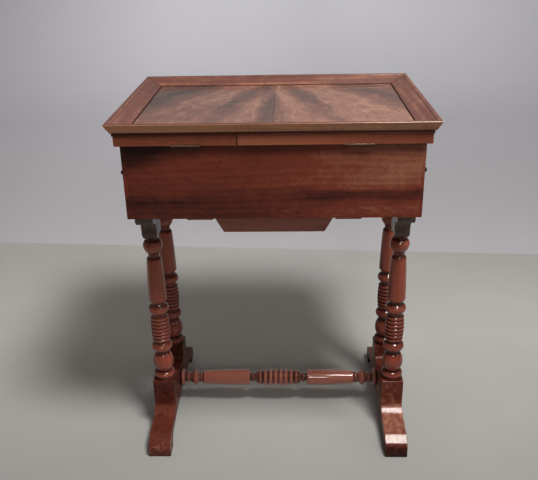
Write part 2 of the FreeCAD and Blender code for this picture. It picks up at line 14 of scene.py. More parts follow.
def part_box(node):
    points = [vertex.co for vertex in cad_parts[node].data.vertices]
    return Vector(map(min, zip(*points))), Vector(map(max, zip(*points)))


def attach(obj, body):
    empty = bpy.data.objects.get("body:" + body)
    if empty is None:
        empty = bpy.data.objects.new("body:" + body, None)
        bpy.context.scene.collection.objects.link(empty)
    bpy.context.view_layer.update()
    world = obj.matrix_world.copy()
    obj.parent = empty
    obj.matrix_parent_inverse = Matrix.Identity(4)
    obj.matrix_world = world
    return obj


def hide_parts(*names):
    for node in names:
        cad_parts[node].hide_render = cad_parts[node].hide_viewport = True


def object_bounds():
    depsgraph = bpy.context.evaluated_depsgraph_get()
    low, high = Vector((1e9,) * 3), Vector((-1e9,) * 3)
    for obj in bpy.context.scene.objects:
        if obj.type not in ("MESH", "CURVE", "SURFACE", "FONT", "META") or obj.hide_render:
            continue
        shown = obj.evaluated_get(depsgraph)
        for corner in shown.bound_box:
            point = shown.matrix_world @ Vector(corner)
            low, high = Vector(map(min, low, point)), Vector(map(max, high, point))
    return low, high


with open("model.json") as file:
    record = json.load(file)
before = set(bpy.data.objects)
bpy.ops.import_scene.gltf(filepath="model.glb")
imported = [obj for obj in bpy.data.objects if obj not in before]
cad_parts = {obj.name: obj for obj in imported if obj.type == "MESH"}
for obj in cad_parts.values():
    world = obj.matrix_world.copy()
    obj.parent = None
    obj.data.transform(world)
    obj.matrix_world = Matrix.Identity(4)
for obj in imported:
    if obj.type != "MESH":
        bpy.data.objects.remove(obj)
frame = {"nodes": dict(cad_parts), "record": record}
NODES = frame["nodes"]
BODIES = frame["record"]["behaviour"]["bodies"]
BODY_OF = {node: body for body, names in BODIES.items() for node in names}
bpy.context.view_layer.update()
cad_low, cad_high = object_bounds()

MM = 0.001
GRAIN_X = (0, 1, 2)    # the row axis that runs along the wood, then the two across it
GRAIN_Y = (1, 0, 2)
GRAIN_Z = (2, 0, 1)


def middle_of(node):
    """The middle of a CAD node's box, to a tenth of a millimetre."""
    low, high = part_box(node)
    return Vector(round(value, 4) for value in (low + high) / 2)


# ---- node trees in few words ----
class Graph:
    """A material's or a group's node tree, with short calls for the nodes used here."""

    def __init__(self, tree):
        self.tree = tree

    def add(self, kind, inputs=None, **settings):
        node = self.tree.nodes.new("ShaderNode" + kind)
        for key, value in settings.items():
            setattr(node, key, value)
        for key, value in (inputs or {}).items():
            self.feed(node.inputs[key], value)
        return node

    def feed(self, socket, value):
        if isinstance(value, bpy.types.NodeSocket):
            self.tree.links.new(value, socket)
        else:
            socket.default_value = value

    def math(self, operation, a, b=0.0, clamp=False):
        node = self.add("Math", {0: a, 1: b}, operation=operation, use_clamp=clamp)
        return node.outputs[0]

    def plus(self, a, b):
        return self.math("ADD", a, b)

    def times(self, a, b):
        return self.math("MULTIPLY", a, b)

    def vector(self, operation, a, b):
        return self.add("VectorMath", {0: a, 1: b}, operation=operation).outputs[0]

    def length(self, a):
        return self.add("VectorMath", {0: a}, operation="LENGTH").outputs["Value"]

    def split(self, vector):
        return self.add("SeparateXYZ", {0: vector}).outputs

    def join(self, x, y, z):
        return self.add("CombineXYZ", {0: x, 1: y, 2: z}).outputs[0]

    def noise(self, vector, scale=1.0, detail=2.0, rough=0.5, bend=0.0, colour=False):
        inputs = {"Vector": vector, "Scale": scale, "Detail": detail, "Roughness": rough}
        inputs["Distortion"] = bend
        return self.add("TexNoise", inputs).outputs["Color" if colour else "Fac"]

    def spot(self):
        """The place in a piece's own frame, which is the row frame for all but the pincushion."""
        return self.add("TexCoord").outputs["Object"]

    def stretched(self, vector, along, across, detail=2.0, rough=0.5, bend=0.0):
        """Noise drawn out along the grain: the two scales are features per metre."""
        drawn = self.vector("MULTIPLY", vector, (along, across, across))
        return self.noise(drawn, 1.0, detail, rough, bend)

    def remap(self, value, low, high, to_low=0.0, to_high=1.0, smooth=False):
        inputs = {"Value": value, "From Min": low, "From Max": high, "To Min": to_low, "To Max": to_high}
        kind = "SMOOTHSTEP" if smooth else "LINEAR"
        return self.add("MapRange", inputs, interpolation_type=kind).outputs[0]

    def levels(self, value, stops):
        """Follows the stops: (place, level) pairs, with places from 0 to 1 and levels from -1 to 1."""
        node = self.add("ValToRGB", {"Fac": value})
        node.color_ramp.interpolation = "EASE"
        points = node.color_ramp.elements
        while len(points) < len(stops):
            points.new(0.5)
        for point, (place, level) in zip(points, stops):
            point.position = place
            point.color = (0.5 + 0.5 * level,) * 3 + (1.0,)
        return self.remap(node.outputs["Color"], 0.0, 1.0, -1.0, 1.0)

    def mix(self, factor, a, b, blend="MIX"):
        node = self.add("Mix", data_type="RGBA", blend_type=blend, clamp_factor=True)
        self.feed(node.inputs["Factor"], factor)
        self.feed(node.inputs[6], a)
        self.feed(node.inputs[7], b)
        return node.outputs[2]

    def bump(self, height, strength, distance, normal=None):
        inputs = {"Height": height, "Strength": strength, "Distance": distance}
        if normal is not None:
            inputs["Normal"] = normal
        return self.add("Bump", inputs).outputs[0]


def rgb(red, green, blue):
    """A colour given as it looks on a screen, 0 to 255, as linear values."""
    linear = []
    for value in (red, green, blue):
        value /= 255.0
        linear.append(value / 12.92 if value <= 0.04045 else ((value + 0.055) / 1.055) ** 2.4)
    return (*linear, 1.0)


def group(name, inputs, outputs):
    """A shared node group: returns it, its graph, and its input and output nodes."""
    tree = bpy.data.node_groups.new(name, "ShaderNodeTree")
    for socket, kind in inputs:
        tree.interface.new_socket(socket, in_out="INPUT", socket_type="NodeSocket" + kind)
    for socket, kind in outputs:
        tree.interface.new_socket(socket, in_out="OUTPUT", socket_type="NodeSocket" + kind)
    graph = Graph(tree)
    return tree, graph, tree.nodes.new("NodeGroupInput").outputs, tree.nodes.new("NodeGroupOutput").inputs


# ---- wood ----
FIGURE_AMOUNTS = ("ring", "rings", "streaks", "broad", "burr", "pores")
FIGURE_COLOURS = ("dark", "mid", "light")
SHADE_AND_PATINA_AMOUNTS = ("dirt", "wear", "grime")


def wood_group():
    """Solid wood: growth rings about an axis along the grain, streaks, burr, fibres and pores."""
    inputs = [("point", "Vector"), ("tone", "Float")]
    inputs += [(key, "Float") for key in FIGURE_AMOUNTS]
    inputs += [(key, "Color") for key in FIGURE_COLOURS]
    outputs = [("Color", "Color"), ("Height", "Float")]
    tree, g, given, out = group("wood figure", inputs, outputs)
    point = given["point"]

    drift = g.noise(g.vector("MULTIPLY", point, (2.4, 9.0, 9.0)), 1.0, 2.0, colour=True)
    drift = g.vector("MULTIPLY", g.vector("SUBTRACT", drift, (0.5, 0.5, 0.5)), (0.0, 0.03, 0.03))
    bent = g.vector("ADD", point, drift)
    radius = g.length(g.vector("MULTIPLY", bent, (0.0, 1.0, 1.0)))
    phase = g.math("FRACT", g.math("DIVIDE", radius, given["ring"]))
    ring = g.times(g.math("POWER", phase, 1.5), g.remap(phase, 0.80, 1.0, 1.0, 0.0, smooth=True))

    streaks = g.stretched(bent, 5.0, 120.0, 3.0, 0.55)
    fibres = g.stretched(bent, 38.0, 1100.0, 2.0, 0.6)
    broad = g.stretched(point, 2.6, 15.0, 2.0, 0.5, 0.5)
    burr = g.noise(point, 46.0, 3.0, 0.55, 1.6)
    pores = g.remap(g.stretched(bent, 70.0, 1500.0, 1.0), 0.60, 0.72, smooth=True)

    tone = g.times(g.math("SUBTRACT", 0.45, ring), given["rings"])
    figures = [(streaks, given["streaks"]), (broad, given["broad"]), (burr, given["burr"]), (fibres, 0.12)]
    for figure, amount in figures:
        tone = g.plus(tone, g.times(g.math("SUBTRACT", figure, 0.5), amount))
    tone = g.plus(tone, given["tone"])
    colour = g.mix(g.remap(tone, 0.0, 0.5), given["dark"], given["mid"])
    colour = g.mix(g.remap(tone, 0.5, 1.0), colour, given["light"])
    shade = g.times(pores, given["pores"])
    pore_tint = (0.35, 0.28, 0.25, 1.0)
    colour = g.mix(shade, colour, g.mix(1.0, colour, pore_tint, "MULTIPLY"))
    g.feed(out["Color"], colour)
    g.feed(out["Height"], g.math("SUBTRACT", g.times(fibres, 0.35), pores))
    return tree


def shade_and_patina_group():
    """Old polish: painted shade, which also stands for dirt, in the corners and joints; darker on what
    faces up; and arrises rubbed paler.
    """
    inputs = [("Color", "Color")] + [(key, "Float") for key in SHADE_AND_PATINA_AMOUNTS]
    tree, g, given, out = group("shade_and_patina", inputs, [("Color", "Color"), ("Worn", "Float")])
    spot = g.spot()
    open_sky = g.add("AmbientOcclusion", {"Distance": 9.0 * MM}, samples=6).outputs["AO"]
    # painted shade: darker where little open sky reaches, in hollows, joints and under overhangs; it also
    # stands for dirt
    dirt = g.remap(open_sky, 0.32, 0.98, 1.0, 0.0, smooth=True)
    dirt = g.times(dirt, g.remap(g.noise(spot, 60.0, 3.0), 0.3, 0.7, 0.55, 1.0))
    dirt = g.times(dirt, given["dirt"])
    normal = g.add("NewGeometry").outputs["Normal"]
    # darker where the faces point up
    facing_up_darkening = g.times(g.remap(g.split(normal)[2], 0.2, 0.75, smooth=True), given["grime"])
    dirt = g.math("MAXIMUM", dirt, facing_up_darkening)
    eased = g.add("Bevel", {"Radius": 2.2 * MM}, samples=4).outputs[0]
    facing = g.add("VectorMath", {0: eased, 1: normal}, operation="DOT_PRODUCT").outputs["Value"]
    edge = g.remap(facing, 0.985, 0.90, 0.0, 1.0, smooth=True)
    edge = g.times(edge, g.remap(open_sky, 0.75, 0.95))
    edge = g.times(edge, g.remap(g.noise(spot, 34.0, 4.0, 0.65), 0.42, 0.62, smooth=True))
    worn = g.times(edge, given["wear"])
    rub_tint = (1.9, 1.75, 1.6, 1.0)
    dirt_tint = (0.13, 0.11, 0.10, 1.0)
    rubbed = g.mix(0.55, g.mix(1.0, given["Color"], rub_tint, "MULTIPLY"), rgb(150, 105, 74))
    colour = g.mix(worn, given["Color"], rubbed)
    shaded_and_soiled = g.mix(1.0, colour, dirt_tint, "MULTIPLY")
    g.feed(out["Color"], g.mix(dirt, colour, shaded_and_soiled))
    g.feed(out["Worn"], worn)
    return tree


WOOD = wood_group()
SHADE_AND_PATINA = shade_and_patina_group()


def start_material(name):
    material = bpy.data.materials.new(name)
    material.use_nodes = True
    material.node_tree.nodes.clear()
    return material, Graph(material.node_tree)


def end_material(g, shader):
    output = g.add("OutputMaterial")
    g.feed(output.inputs["Surface"], shader.outputs[0])


def grain_point(g, grain, board):
    """The place with X turned along the grain, and moved to a bit of the tree that is the board's own."""
    axes = g.split(g.spot())
    along, across, third = (axes[i] for i in grain)
    off_heart = 0.071 + 0.013 * math.sin(5.0 * board)
    off_side = 0.046 + 0.011 * math.cos(3.0 * board)
    return g.vector("ADD", g.join(along, across, third), (1.7 * board, off_heart, off_side))


def polish(g, look, height, worn):
    """The roughness of a polished wood, its normal with the grain's relief, and the normal of its skin."""
    spot = g.spot()
    uneven = g.math("SUBTRACT", g.noise(spot, 17.0, 4.0, 0.6), 0.5)
    rough = g.plus(look["rough"], g.times(uneven, 0.22))
    rough = g.plus(rough, g.times(worn, 0.22))
    ripple = g.noise(spot, 42.0, 2.0, 0.5)
    dents = g.remap(g.noise(spot, 230.0, 1.0), 0.70, 0.80, 0.0, -1.0, smooth=True)
    waves = g.plus(ripple, g.times(dents, 0.25))
    skin = g.bump(waves, look["ripple"], 0.9 * MM)
    relief = g.bump(height, look["relief"], 0.35 * MM)
    return rough, g.bump(waves, look["ripple"], 0.9 * MM, relief), skin


def wood(name, look, grain, board, tone=None, point=None):
    """A polished wood. look is a dictionary as below; tone and point may be functions of the graph."""
    material, g = start_material(name)
    values = {key: look[key] for key in FIGURE_AMOUNTS + FIGURE_COLOURS}
    values["point"] = point(g) if point else grain_point(g, grain, board)
    values["tone"] = g.plus(tone(g), 0.5) if tone else 0.5
    figure = g.add("Group", values, node_tree=WOOD)
    values = {key: look[key] for key in SHADE_AND_PATINA_AMOUNTS}
    values["Color"] = figure.outputs["Color"]
    shade_and_patina = g.add("Group", values, node_tree=SHADE_AND_PATINA)
    rough, normal, skin = polish(g, look, figure.outputs["Height"], shade_and_patina.outputs["Worn"])
    shader = g.add("BsdfPrincipled", {"Base Color": shade_and_patina.outputs["Color"], "Roughness": rough,
                                      "Normal": normal, "Coat Normal": skin})
    shader.inputs["IOR"].default_value = 1.5
    shader.inputs["Specular IOR Level"].default_value = look["shine"]
    shader.inputs["Coat Weight"].default_value = look["coat"]
    shader.inputs["Coat Roughness"].default_value = look["coat_rough"]
    end_material(g, shader)
    return material


# A ring is a growth ring's width in metres. The rest are amounts of figure, roughness, relief, polish,
# painted shade and patina, from 0 for none.
BASE_LOOK = {"ring": 0.011, "rings": 0.10, "streaks": 0.45, "broad": 0.7, "burr": 0.12, "pores": 0.4,
             "rough": 0.5, "relief": 0.3, "ripple": 0.12, "coat": 0.7, "coat_rough": 0.10, "shine": 0.12,
             "dirt": 0.85, "wear": 0.4, "grime": 0.0}


def look(**changes):
    """The base look with its three colours, dark, mid and light, and with some amounts changed."""
    made = dict(BASE_LOOK)
    made.update(changes)
    return made


PANEL = look(dark=rgb(80, 70, 66), mid=rgb(126, 92, 82), light=rgb(178, 136, 118),
             rings=0.05, streaks=0.3, broad=0.2, burr=0.2, coat=0.8, coat_rough=0.08, wear=0.0)
RIM = look(dark=rgb(68, 42, 40), mid=rgb(118, 80, 72), light=rgb(202, 148, 114),
           burr=0.35, streaks=0.3, coat=0.4, coat_rough=0.18, wear=0.15, rough=0.58)
BAND = look(dark=rgb(84, 44, 34), mid=rgb(148, 84, 63), light=rgb(172, 112, 86),
            burr=0.3, streaks=0.35, broad=0.5, dirt=0.45)
FILLET = look(dark=rgb(70, 36, 26), mid=rgb(112, 62, 46), light=rgb(140, 86, 66),
              dirt=0.3, coat=0.4)
CASE = look(dark=rgb(54, 24, 19), mid=rgb(122, 60, 45), light=rgb(170, 128, 104),
            coat=0.5, coat_rough=0.14, streaks=0.2, broad=0.5, burr=0.3)
TURNED = look(dark=rgb(70, 26, 20), mid=rgb(146, 74, 58), light=rgb(176, 106, 82),
              coat=1.0, coat_rough=0.07, ripple=0.05, dirt=1.0, wear=0.2, streaks=0.3, grime=0.6)
# paler than the columns' wood: painted light where the case shades the stretcher
STRETCHER = look(dark=rgb(88, 38, 30), mid=rgb(168, 103, 86), light=rgb(200, 134, 112),
                 coat=1.0, coat_rough=0.10, ripple=0.05, dirt=1.0, wear=0.2, streaks=0.3, shine=0.3,
                 rough=0.4)
FOOT = look(dark=rgb(56, 20, 16), mid=rgb(110, 56, 42), light=rgb(184, 136, 116),
            coat=0.28, coat_rough=0.12, ripple=0.06, broad=0.5, burr=0.8, rings=0.04, streaks=0.2)
EBONISED = look(dark=rgb(56, 44, 40), mid=rgb(98, 80, 73), light=rgb(126, 111, 103),
                coat=0.5, coat_rough=0.16, wear=0.6, streaks=0.4)
# paler than the case's wood: painted light where the case shades the trough
TROUGH = look(dark=rgb(114, 73, 63), mid=rgb(163, 110, 96), light=rgb(188, 134, 118),
              coat=0.3, coat_rough=0.2)
CARCASS = look(dark=rgb(112, 80, 52), mid=rgb(150, 112, 76), light=rgb(180, 142, 102),
               coat=0.0, coat_rough=0.3, rough=0.62, shine=0.3, relief=0.6, rings=0.25)
INNER = look(dark=rgb(158, 116, 72), mid=rgb(192, 148, 98), light=rgb(216, 178, 126),
             coat=0.35, coat_rough=0.18, rings=0.2, streaks=0.5)


# ---- wood of single boards ----
CASE_BACK, CASE_FOOT = (round(value, 4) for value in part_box("case_back")[0].yz)


def fan(g):
    """How far round, and how far out, from a point beyond the front end of the lid's seam."""
    start_y = 0.46
    x, y, z = g.split(g.spot())
    out = g.plus(g.math("ABSOLUTE", x), 0.05)
    up = g.math("SUBTRACT", start_y, y)
    turn = g.math("ARCTAN2", out, up)
    reach = g.length(g.join(out, up, 0.0))
    sway = g.noise(g.join(g.times(turn, 6.0), g.times(reach, 9.0), 0.4), 1.0, 3.0, 0.55, 0.6)
    return g.plus(turn, g.times(g.math("SUBTRACT", sway, 0.5), 0.16)), reach


def bookmatched(g):
    """The lid's veneer: two mirrored leaves whose figure fans out towards the back."""
    turn, reach = fan(g)
    return g.join(g.plus(reach, 3.1), g.plus(g.times(turn, 0.6), 0.3), 0.2)


def panel_tone(g):
    """Dark veins along the fan, a painted dark sheen along the left of the seam, the thin line of the seam,
    and a painted sheen that is darker to the left and paler to the right.
    """
    dark_sheen_x = -0.013
    x, y, z = g.split(g.spot())
    turn, reach = fan(g)
    veins = g.levels(turn, [(0.10, -0.05), (0.18, 0.28), (0.23, 0.05), (0.28, -0.24), (0.35, 0.14),
                            (0.47, 0.14), (0.52, -0.14), (0.59, -0.40), (0.67, -0.22), (0.75, 0.0)])
    veins = g.times(veins, g.remap(y, -0.14, 0.06, 0.40, 1.0, smooth=True))
    lines = g.noise(g.join(g.times(turn, 90.0), g.times(reach, 5.0), 0.0), 1.0, 3.0, 0.6)
    lines = g.times(g.math("SUBTRACT", lines, 0.5), 0.55)
    flame = g.noise(g.join(g.times(turn, 26.0), g.times(reach, 15.0), 2.0), 1.0, 2.0, 0.5, 1.6)
    lines = g.plus(lines, g.times(g.remap(flame, 0.52, 0.64, smooth=True), 0.16))
    patches = g.times(g.math("SUBTRACT", g.noise(g.join(x, y, 0.0), 17.0, 2.0, 0.5, 1.2), 0.5), 0.5)
    # painted shade: the dark sheen of the left leaf beside the seam
    dark_sheen = g.remap(g.math("ABSOLUTE", g.plus(x, -dark_sheen_x)), 0.006, 0.022, -0.34, 0.0, smooth=True)
    dark_sheen = g.times(dark_sheen, g.remap(y, -0.17, 0.05, 0.6, 1.0, smooth=True))
    seam = g.remap(g.math("ABSOLUTE", x), 0.3 * MM, 0.9 * MM, -0.5, 0.0)
    # painted sheen: darker to the left, paler to the right
    lift = g.remap(x, -0.24, 0.24, -0.10, 0.14)
    tone = g.plus(g.plus(veins, dark_sheen), g.plus(seam, lift))
    return g.plus(tone, g.plus(lines, patches))


def rim_tone(slope):
    """A rim moulding: its leaning outer face is paler than its top edge and its slope, as painted light on
    a face that the key lamp does not reach, with dark flecks.
    """
    face_depth = 8.0 * MM

    def tone(g):
        x, y, z = g.split(g.spot())
        outside_x = g.plus(g.math("ABSOLUTE", x), face_depth - cad_high.x)
        outside_y = g.plus(g.math("ABSOLUTE", y), face_depth - cad_high.y)
        outside = g.remap(g.math("MAXIMUM", outside_x, outside_y), -0.5 * MM, 0.5 * MM)
        outside = g.times(outside, g.remap(z, cad_high.z - 1.2 * MM, cad_high.z - 0.5 * MM, 1.0, 0.0))
        # painted light on the outer face, paler at the left end than at the right
        face = g.remap(x, -0.28, 0.28, 0.62, 0.28)
        flecks = g.remap(g.noise(g.join(x, y, z), 420.0, 1.0), 0.72, 0.78, 0.0, -0.7)
        face = g.plus(g.plus(face, flecks), -slope)
        return g.plus(g.times(outside, face), slope)

    return tone


def case_back_tone(g):
    """The back board: paler to the upper right, partly as painted light falling from the right, dark in the
    top left corner and in bands near its foot.
    """
    bands_top = 0.14
    x, y, z = g.split(g.spot())
    sway = g.noise(g.join(g.times(x, 5.0), 1.0, g.times(z, 14.0)), 1.0, 3.0)
    height = g.plus(z, -CASE_FOOT)
    height = g.plus(height, g.times(g.math("SUBTRACT", sway, 0.5), 0.05))
    height = g.plus(height, g.times(x, -0.03))
    # partly the board's tone, partly painted light falling from the right
    right = g.remap(x, -0.25, 0.22, -0.14, 0.18)
    share = g.math("DIVIDE", height, bands_top)
    bands = g.levels(share, [(0.0, -0.36), (0.12, -0.33), (0.26, -0.34), (0.42, -0.08), (0.64, -0.01),
                             (0.86, 0.0), (1.0, -0.08)])
    low_left = g.times(g.remap(height, 0.0, 0.05, 0.24, 0.0), g.remap(x, -0.28, -0.08, 1.0, 0.0))
    low_right = g.remap(g.math("ABSOLUTE", g.plus(height, -0.036)), 0.002, 0.014, -0.20, 0.0, smooth=True)
    low_right = g.plus(low_right, g.remap(height, 0.012, 0.026, 0.14, 0.0, smooth=True))
    low_right = g.times(low_right, g.remap(x, 0.0, 0.12, smooth=True))
    corner = g.remap(g.plus(g.times(x, -0.32), height), 0.160, 0.205, 0.0, -0.42, smooth=True)
    low = g.plus(g.plus(bands, low_left), low_right)
    return g.plus(g.plus(right, cathedral(g)), g.plus(low, corner))


def cathedral(g):
    """Flat arches of growth rings, low on the right of the back board."""
    middle_x = 0.125
    middle_z = CASE_FOOT + 0.012
    half_width = 0.13
    half_height = 0.019
    x, y, z = g.split(g.spot())
    across = g.math("DIVIDE", g.plus(x, -middle_x), half_width)
    high = g.math("DIVIDE", g.plus(z, -middle_z), half_height)
    wander = g.noise(g.join(g.times(x, 26.0), 3.0, g.times(z, 120.0)), 1.0, 3.0, 0.6)
    arch = g.plus(g.length(g.join(across, high, 0.0)), g.times(wander, 0.8))
    rings = g.times(g.math("SINE", g.times(arch, 24.0)), 0.07)
    return g.times(rings, g.remap(arch, 0.9, 1.9, 1.0, 0.0, smooth=True))


def side_board_tone(g):
    """The end of a side board has the same tone as the back board beside it."""
    y = g.split(g.spot())[1]
    end = g.remap(y, CASE_BACK + 1.5 * MM, CASE_BACK + 4.5 * MM, 1.0, 0.0)
    return g.times(case_back_tone(g), end)


def band_back_tone(g):
    """A dark butt joint left of the middle: duller wood on its left, paler on its right."""
    joint_x = -0.0599
    half_joint = 0.6 * MM
    x = g.split(g.spot())[0]
    side = g.remap(x, joint_x - half_joint, joint_x + half_joint, -0.13, 0.18)
    fade = g.remap(x, 0.05, 0.26, 0.0, -0.28)
    line = g.remap(g.math("ABSOLUTE", g.plus(x, -joint_x)), half_joint, 2.2 * MM, -0.55, 0.0, smooth=True)
    return g.plus(g.plus(side, fade), line)


def foot_tone(slope, block, toe):
    """A foot's tone by height: its slopes, the blocks above them, and the toes below them. It is partly the
    wood's own tone and partly painted shade, as on the right toe, darkened to tone down its glint.
    """
    def tone(g):
        z = g.split(g.spot())[2]
        high = g.remap(z, 0.055, 0.085, slope, block, smooth=True)
        low = g.remap(z, 0.022, 0.034, toe - slope, 0.0, smooth=True)
        return g.plus(high, low)

    return tone


def column_tone(g):
    """Painted light and shade: paler on the long shaft and darker towards the foot, and painted shade,
    which also stands for dirt, in the turned grooves.
    """
    middle = middle_of("column_front_right")
    shaft_z = 0.357
    x, y, z = g.split(g.spot())
    across = g.plus(g.math("ABSOLUTE", x), -middle.x)
    deep = g.plus(g.math("ABSOLUTE", y), -middle.y)
    radius = g.length(g.join(across, deep, 0.0))
    off_shaft = g.remap(g.math("ABSOLUTE", g.plus(z, -shaft_z)), 45.0 * MM, 51.0 * MM)
    # painted shade in the grooves and necks, also standing for dirt
    groove = g.times(off_shaft, g.remap(radius, 13.8 * MM, 17.6 * MM, -0.42, 0.04))
    # painted light: paler high on the shaft, darker towards the foot
    return g.plus(groove, g.remap(z, 0.20, 0.32, -0.08, 0.14))


def stretcher_tone(g):
    """Painted shade, which also stands for dirt, in the turned grooves, and a painted highlight on the
    crests of the ribbed barrel.
    """
    x, y, z = g.split(g.spot())
    radius = g.length(g.join(0.0, y, g.plus(z, -middle_of("stretcher").z)))
    barrel = g.remap(g.math("ABSOLUTE", x), 47.0 * MM, 50.0 * MM, 1.0, 0.0)
    # painted highlight on the crests and painted shade in the grooves of the barrel
    ribs = g.times(barrel, g.remap(radius, 14.5 * MM, 18.0 * MM, -0.50, 0.10))
    # painted shade in the narrow necks, also standing for dirt
    return g.plus(ribs, g.remap(radius, 9.0 * MM, 14.5 * MM, -0.40, 0.0))


# ---- metal, glass and cloth ----
def metal(name, colour, tarnish, rough, tarnished=0.5):
    """A metal with stains of tarnish, more of them in its corners, and fine scratches."""
    material, g = start_material(name)
    spot = g.spot()
    stain = g.remap(g.noise(spot, 90.0, 4.0, 0.65), 0.35, 0.68, smooth=True)
    open_sky = g.add("AmbientOcclusion", {"Distance": 4.0 * MM}, samples=6).outputs["AO"]
    stain = g.math("MAXIMUM", g.times(stain, tarnished), g.remap(open_sky, 0.3, 0.9, 0.9, 0.0))
    scratches = g.noise(g.vector("MULTIPLY", spot, (2600.0, 160.0, 160.0)), 1.0, 2.0)
    mixed = g.mix(stain, colour, tarnish)
    shader = g.add("BsdfPrincipled", {"Base Color": mixed, "Metallic": g.remap(stain, 0.0, 1.0, 1.0, 0.55),
                                      "Roughness": g.plus(rough, g.times(stain, 0.28)),
                                      "Normal": g.bump(scratches, 0.25, 0.08 * MM)})
    end_material(g, shader)
    return material


def looking_glass():
    """Old silvering: faint grey bloom and a little foxing near the edges."""
    foxed_edge = 28.0 * MM
    material, g = start_material("looking glass")
    spot = g.spot()
    x, y, z = g.split(spot)
    low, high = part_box("mirror")
    near_x = g.math("SUBTRACT", high.x, g.math("ABSOLUTE", x))
    near_y = g.math("SUBTRACT", high.y, g.math("ABSOLUTE", y))
    rim = g.remap(g.math("MINIMUM", near_x, near_y), 0.0, foxed_edge, 1.0, 0.0, smooth=True)
    spots = g.remap(g.noise(spot, 150.0, 4.0, 0.7), 0.56, 0.68, smooth=True)
    foxing = g.math("MULTIPLY", spots, g.plus(g.times(rim, 0.85), 0.05), clamp=True)
    bloom = g.noise(spot, 9.0, 3.0)
    colour = g.mix(foxing, rgb(226, 230, 226), rgb(92, 78, 58))
    shader = g.add("BsdfPrincipled", {"Base Color": colour, "Metallic": g.remap(foxing, 0.0, 1.0, 1.0, 0.4),
                                      "Roughness": g.plus(g.times(bloom, 0.03), g.times(foxing, 0.4))})
    end_material(g, shader)
    return material


def velvet():
    """Red velvet with a soft sheen, crushed in places."""
    pile_tint = (0.55, 0.5, 0.5, 1.0)
    material, g = start_material("velvet")
    spot = g.spot()
    pile = g.noise(spot, 1400.0, 3.0, 0.7)
    crushed = g.noise(spot, 38.0, 4.0, 0.6)
    colour = g.mix(g.remap(crushed, 0.3, 0.7), rgb(88, 20, 26), rgb(138, 40, 44))
    between = g.mix(1.0, colour, pile_tint, "MULTIPLY")
    colour = g.mix(g.remap(pile, 0.35, 0.65), between, colour)
    normal = g.bump(g.plus(pile, g.times(crushed, 0.6)), 0.6, 0.6 * MM)
    shader = g.add("BsdfPrincipled", {"Base Color": colour, "Roughness": 0.85, "Normal": normal})
    shader.inputs["Sheen Weight"].default_value = 0.8
    shader.inputs["Sheen Roughness"].default_value = 0.35
    shader.inputs["Sheen Tint"].default_value = rgb(224, 150, 150)
    shader.inputs["Specular IOR Level"].default_value = 0.15
    end_material(g, shader)
    return material


# ---- shapes ----
def edges_group():
    """Geometry nodes that join the CAD mesh's split corners and shade it smooth."""
    touching = 0.002 * MM
    tree = bpy.data.node_groups.new("joined and smooth", "GeometryNodeTree")
    tree.interface.new_socket("Geometry", in_out="INPUT", socket_type="NodeSocketGeometry")
    tree.interface.new_socket("Geometry", in_out="OUTPUT", socket_type="NodeSocketGeometry")
    given = tree.nodes.new("NodeGroupInput")
    merge = tree.nodes.new("GeometryNodeMergeByDistance")
    merge.inputs["Distance"].default_value = touching
    strip = tree.nodes.new("GeometryNodeRemoveAttribute")
    strip.inputs["Name"].default_value = "custom_normal"
    smooth = tree.nodes.new("GeometryNodeSetShadeSmooth")
    out = tree.nodes.new("NodeGroupOutput")
    tree.links.new(given.outputs[0], merge.inputs[0])
    tree.links.new(merge.outputs[0], strip.inputs[0])
    tree.links.new(strip.outputs[0], smooth.inputs[0])
    tree.links.new(smooth.outputs[0], out.inputs[0])
    return tree


JOINED = edges_group()


def ease(node, width):
    """Eases a CAD node's arrises with modifiers; its own mesh stays as it is."""
    piece = NODES[node]
    join = piece.modifiers.new("joined", "NODES")
    join.node_group = JOINED
    flat = piece.modifiers.new("flat faces", "DECIMATE")
    flat.decimate_type = "DISSOLVE"
    flat.angle_limit = math.radians(0.4)
    bevel = piece.modifiers.new("arrises", "BEVEL")
    bevel.width = width
    bevel.segments = 3
    bevel.limit_method = "ANGLE"
    bevel.angle_limit = math.radians(28.0)
    bevel.use_clamp_overlap = True
    bevel.miter_outer = "MITER_ARC"
    bevel.harden_normals = False
    normals = piece.modifiers.new("normals", "WEIGHTED_NORMAL")
    normals.keep_sharp = False
    normals.weight = 60


def meridian(node, axis, centre):
    """The outline (place along the axis, radius) of a turned CAD node, from one end to the other."""
    found = set()
    others = [i for i in range(3) if i != axis]
    for vertex in NODES[node].data.vertices:
        radius = math.hypot(*(vertex.co[i] - centre[i] for i in others))
        found.add((round(vertex.co[axis], 5), round(radius, 5)))
    levels = {}
    for along, radius in found:
        levels.setdefault(along, []).append(radius)
    line = []
    for along in sorted(levels):
        radii = levels[along]
        if line:
            radii.sort(key=lambda r: abs(r - line[-1][1]))
        else:
            radii.sort()
        line += [(along, radius) for radius in radii]
    return line


def resampled(line, step):
    """The same outline with a point at least every step."""
    points = [line[0]]
    for (a0, r0), (a1, r1) in zip(line, line[1:]):
        count = max(1, math.ceil(math.hypot(a1 - a0, r1 - r0) / step))
        points += [(a0 + (a1 - a0) * i / count, r0 + (r1 - r0) * i / count) for i in range(1, count + 1)]
    return points


def softened(line, passes):
    """Rounds the arrises: each pass moves a point towards the middle of its neighbours."""
    for _ in range(passes):
        inner = []
        for before, here, after in zip(line, line[1:], line[2:]):
            inner.append(tuple(0.5 * here[k] + 0.25 * (before[k] + after[k]) for k in (0, 1)))
        line = [line[0]] + inner + [line[-1]]
    return line


